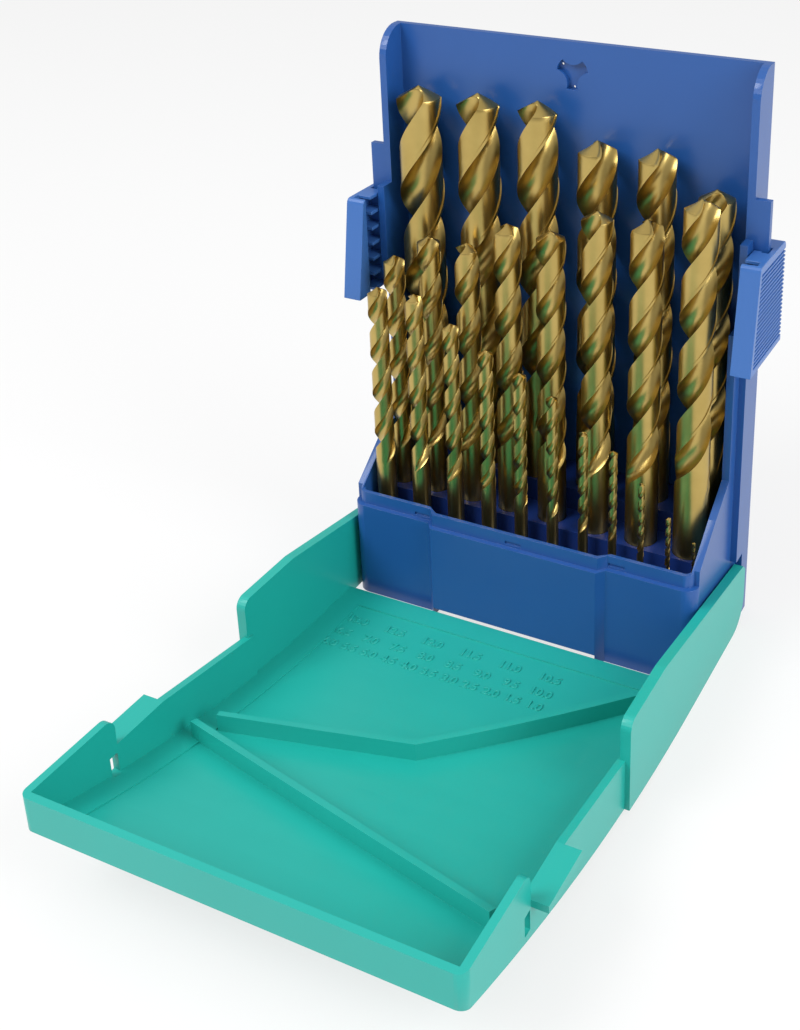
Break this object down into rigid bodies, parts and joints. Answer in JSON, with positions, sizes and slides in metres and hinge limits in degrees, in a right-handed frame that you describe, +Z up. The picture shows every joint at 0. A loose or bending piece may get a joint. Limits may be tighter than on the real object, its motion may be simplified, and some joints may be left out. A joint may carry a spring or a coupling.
{
  "type": "drill bit case",
  "caption": "Standing drill bit case with a stepped holder full of twist drills, a hinged tray lid with stop ribs, and sliding grip latches that clasp the closed lid.",
  "frame": {"origin": "centre of the flat bottom face of the case body, which stands on the table", "axes": "+Z up; +X to the right seen from the front; -Y to the front, where the open lid lies"},
  "size_m": [0.1262, 0.176, 0.17],
  "materials": {
    "case_blue": "satin moulded blue plastic with a fine texture",
    "holder_blue": "satin moulded dark blue plastic",
    "lid_green": "semi-gloss moulded blue-green plastic",
    "latch_blue": "satin moulded blue plastic, ribbed grip",
    "drill_gold": "gold-coloured coated tool steel, satin"
  },
  "bodies": {
    "body": {"case_body": "case_blue", "drill_holder": "holder_blue"},
    "lid": {"lid": "lid_green"},
    "latch_left": {"latch_left": "latch_blue"},
    "latch_right": {"latch_right": "latch_blue"},
    "drill_13_0": {"drill_13_0": "drill_gold"},
    "drill_12_5": {"drill_12_5": "drill_gold"},
    "drill_12_0": {"drill_12_0": "drill_gold"},
    "drill_11_5": {"drill_11_5": "drill_gold"},
    "drill_11_0": {"drill_11_0": "drill_gold"},
    "drill_10_5": {"drill_10_5": "drill_gold"},
    "drill_6_5": {"drill_6_5": "drill_gold"},
    "drill_7_0": {"drill_7_0": "drill_gold"},
    "drill_7_5": {"drill_7_5": "drill_gold"},
    "drill_8_0": {"drill_8_0": "drill_gold"},
    "drill_8_5": {"drill_8_5": "drill_gold"},
    "drill_9_0": {"drill_9_0": "drill_gold"},
    "drill_9_5": {"drill_9_5": "drill_gold"},
    "drill_10_0": {"drill_10_0": "drill_gold"},
    "drill_6_0": {"drill_6_0": "drill_gold"},
    "drill_5_5": {"drill_5_5": "drill_gold"},
    "drill_5_0": {"drill_5_0": "drill_gold"},
    "drill_4_5": {"drill_4_5": "drill_gold"},
    "drill_4_0": {"drill_4_0": "drill_gold"},
    "drill_3_5": {"drill_3_5": "drill_gold"},
    "drill_3_0": {"drill_3_0": "drill_gold"},
    "drill_2_5": {"drill_2_5": "drill_gold"},
    "drill_2_0": {"drill_2_0": "drill_gold"},
    "drill_1_5": {"drill_1_5": "drill_gold"},
    "drill_1_0": {"drill_1_0": "drill_gold"}
  },
  "joints": [
    {"name": "lid_hinge", "type": "hinge", "parent": "body", "child": "lid", "pos_m": [0, -0.003, 0.018], "axis": [1, 0, 0], "range_deg": [-90, 0]},
    {"name": "latch_left_slide", "type": "slide", "parent": "body", "child": "latch_left", "axis": [0, 0, 1], "range_m": [0, 0.016]},
    {"name": "latch_right_slide", "type": "slide", "parent": "body", "child": "latch_right", "axis": [0, 0, 1], "range_m": [0, 0.016]},
    {"name": "drill_13_0_lift", "type": "slide", "parent": "body", "child": "drill_13_0", "axis": [0, 0, 1], "range_m": [0, 0.0375]},
    {"name": "drill_12_5_lift", "type": "slide", "parent": "body", "child": "drill_12_5", "axis": [0, 0, 1], "range_m": [0, 0.0375]},
    {"name": "drill_12_0_lift", "type": "slide", "parent": "body", "child": "drill_12_0", "axis": [0, 0, 1], "range_m": [0, 0.0375]},
    {"name": "drill_11_5_lift", "type": "slide", "parent": "body", "child": "drill_11_5", "axis": [0, 0, 1], "range_m": [0, 0.0375]},
    {"name": "drill_11_0_lift", "type": "slide", "parent": "body", "child": "drill_11_0", "axis": [0, 0, 1], "range_m": [0, 0.0375]},
    {"name": "drill_10_5_lift", "type": "slide", "parent": "body", "child": "drill_10_5", "axis": [0, 0, 1], "range_m": [0, 0.0375]},
    {"name": "drill_6_5_lift", "type": "slide", "parent": "body", "child": "drill_6_5", "axis": [0, 0, 1], "range_m": [0, 0.029]},
    {"name": "drill_7_0_lift", "type": "slide", "parent": "body", "child": "drill_7_0", "axis": [0, 0, 1], "range_m": [0, 0.029]},
    {"name": "drill_7_5_lift", "type": "slide", "parent": "body", "child": "drill_7_5", "axis": [0, 0, 1], "range_m": [0, 0.029]},
    {"name": "drill_8_0_lift", "type": "slide", "parent": "body", "child": "drill_8_0", "axis": [0, 0, 1], "range_m": [0, 0.029]},
    {"name": "drill_8_5_lift", "type": "slide", "parent": "body", "child": "drill_8_5", "axis": [0, 0, 1], "range_m": [0, 0.029]},
    {"name": "drill_9_0_lift", "type": "slide", "parent": "body", "child": "drill_9_0", "axis": [0, 0, 1], "range_m": [0, 0.029]},
    {"name": "drill_9_5_lift", "type": "slide", "parent": "body", "child": "drill_9_5", "axis": [0, 0, 1], "range_m": [0, 0.029]},
    {"name": "drill_10_0_lift", "type": "slide", "parent": "body", "child": "drill_10_0", "axis": [0, 0, 1], "range_m": [0, 0.029]},
    {"name": "drill_6_0_lift", "type": "slide", "parent": "body", "child": "drill_6_0", "axis": [0, 0, 1], "range_m": [0, 0.0205]},
    {"name": "drill_5_5_lift", "type": "slide", "parent": "body", "child": "drill_5_5", "axis": [0, 0, 1], "range_m": [0, 0.0205]},
    {"name": "drill_5_0_lift", "type": "slide", "parent": "body", "child": "drill_5_0", "axis": [0, 0, 1], "range_m": [0, 0.0205]},
    {"name": "drill_4_5_lift", "type": "slide", "parent": "body", "child": "drill_4_5", "axis": [0, 0, 1], "range_m": [0, 0.0205]},
    {"name": "drill_4_0_lift", "type": "slide", "parent": "body", "child": "drill_4_0", "axis": [0, 0, 1], "range_m": [0, 0.0205]},
    {"name": "drill_3_5_lift", "type": "slide", "parent": "body", "child": "drill_3_5", "axis": [0, 0, 1], "range_m": [0, 0.0205]},
    {"name": "drill_3_0_lift", "type": "slide", "parent": "body", "child": "drill_3_0", "axis": [0, 0, 1], "range_m": [0, 0.0205]},
    {"name": "drill_2_5_lift", "type": "slide", "parent": "body", "child": "drill_2_5", "axis": [0, 0, 1], "range_m": [0, 0.0205]},
    {"name": "drill_2_0_lift", "type": "slide", "parent": "body", "child": "drill_2_0", "axis": [0, 0, 1], "range_m": [0, 0.0205]},
    {"name": "drill_1_5_lift", "type": "slide", "parent": "body", "child": "drill_1_5", "axis": [0, 0, 1], "range_m": [0, 0.0205]},
    {"name": "drill_1_0_lift", "type": "slide", "parent": "body", "child": "drill_1_0", "axis": [0, 0, 1], "range_m": [0, 0.0205]}
  ]
}
